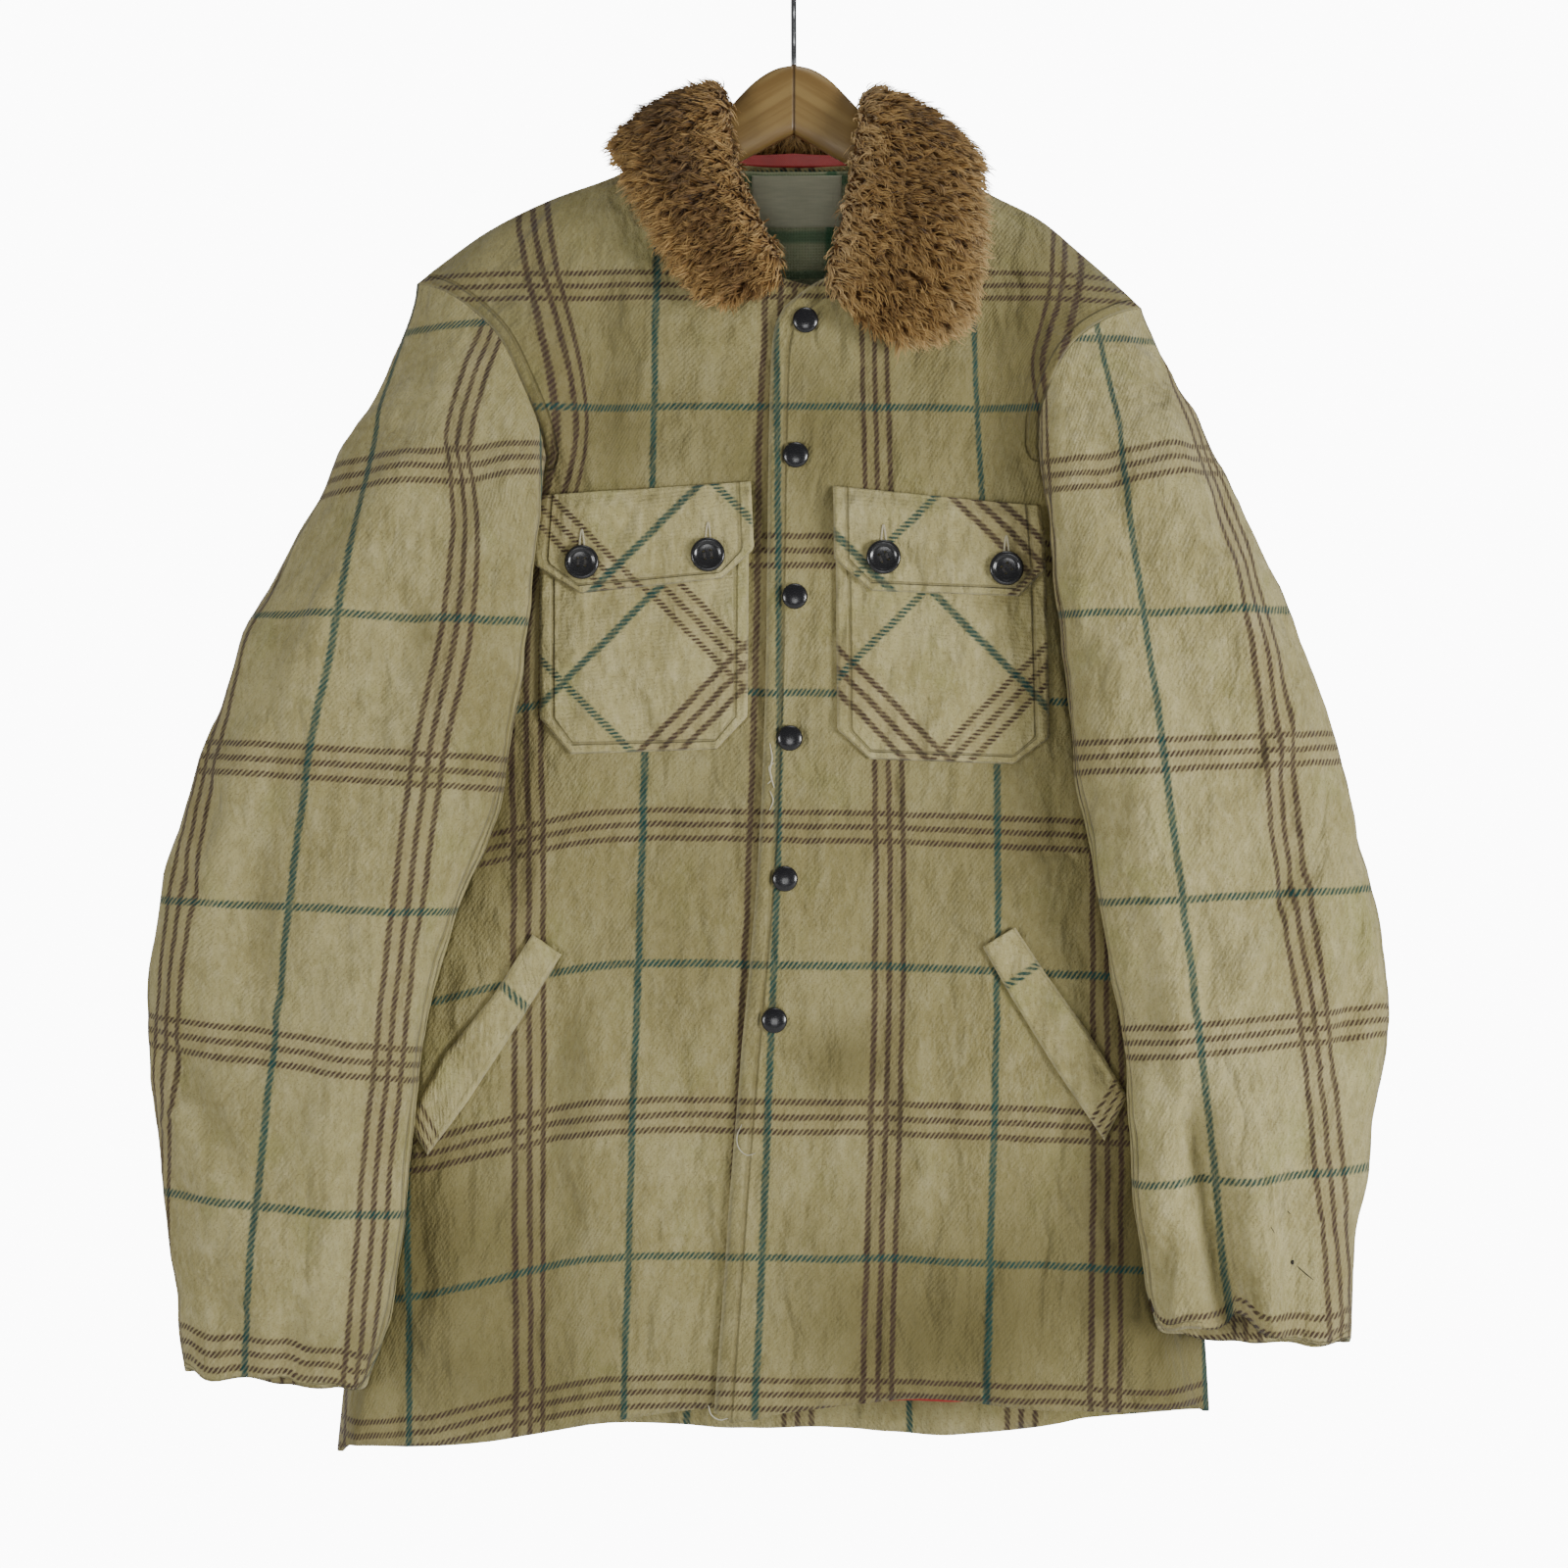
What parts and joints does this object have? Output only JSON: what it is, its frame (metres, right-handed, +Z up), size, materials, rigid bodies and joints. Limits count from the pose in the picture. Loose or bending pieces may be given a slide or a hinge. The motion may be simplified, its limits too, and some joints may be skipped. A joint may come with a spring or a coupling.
{
  "type": "wool jacket on a hanger",
  "caption": "Closed plaid wool jacket with a pile fur collar, flap pockets and long sleeves, hung on a wooden hanger with a wire hook.",
  "frame": {"origin": "inside top of the hanger's hook, where it hangs on its rail", "axes": "+Z up, the jacket's front faces -Y, the wearer's right is at -X"},
  "size_m": [0.7482, 0.1565, 0.9263],
  "materials": {
    "wool": "brushed matt",
    "fur": "curly pile",
    "facing": "matt",
    "lining": "satin",
    "label": "satin",
    "button": "gloss",
    "wood": "satin varnish",
    "wire": "polished"
  },
  "bodies": {
    "root": {"back": "wool", "collar": "fur", "cuff_button_1": "button", "cuff_button_2": "button", "cuff_button_3": "button", "cuff_button_4": "button", "flap_button_1": "button", "flap_button_2": "button", "flap_button_3": "button", "flap_button_4": "button", "flap_left": "wool", "flap_right": "wool", "front_left": "wool", "front_right": "wool", "hanger_left": "wood", "hanger_right": "wood", "hem_lining": "lining", "hook": "wire", "neck_facing": "facing", "neck_label": "label", "neck_lining": "lining", "pocket_left": "wool", "pocket_right": "wool", "sleeve_left_top": "wool", "sleeve_left_under": "wool", "sleeve_right_top": "wool", "sleeve_right_under": "wool", "snap_1": "button", "snap_2": "button", "snap_3": "button", "snap_4": "button", "snap_5": "button", "snap_6": "button", "welt_left": "wool", "welt_right": "wool"}
  },
  "joints": []
}
